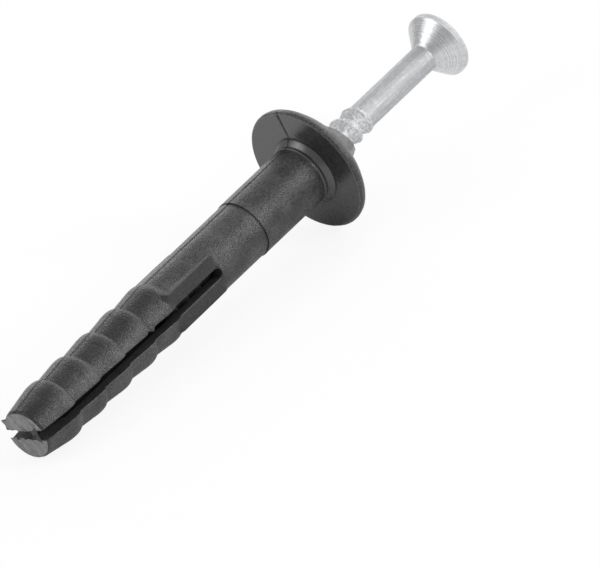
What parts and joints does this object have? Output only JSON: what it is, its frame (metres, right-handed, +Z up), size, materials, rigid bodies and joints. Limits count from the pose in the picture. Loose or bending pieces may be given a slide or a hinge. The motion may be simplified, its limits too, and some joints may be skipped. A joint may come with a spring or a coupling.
{
  "type": "hammer fixing plug",
  "caption": "Hammer fixing plug: a split, barbed plastic expansion sleeve with a mushroom flange and a countersunk drive nail that is hammered in to spread it.",
  "frame": {"origin": "middle of the plug's footprint on the floor, as it lies on its flange rim and last barb", "axes": "+X along the plug toward the nail head, +Y across it, +Z up"},
  "size_m": [0.0598, 0.0124, 0.0124],
  "materials": {
    "plug_sleeve": "moulded, matte, charcoal grey",
    "drive_nail": "bright zinc plating"
  },
  "bodies": {
    "plug": {"plug_sleeve": "plug_sleeve"},
    "nail": {"drive_nail": "drive_nail"}
  },
  "joints": [
    {"name": "nail_drive", "type": "slide", "parent": "plug", "child": "nail", "axis": [-0.9963, 0, -0.0856], "range_m": [0, 0.01455]}
  ]
}
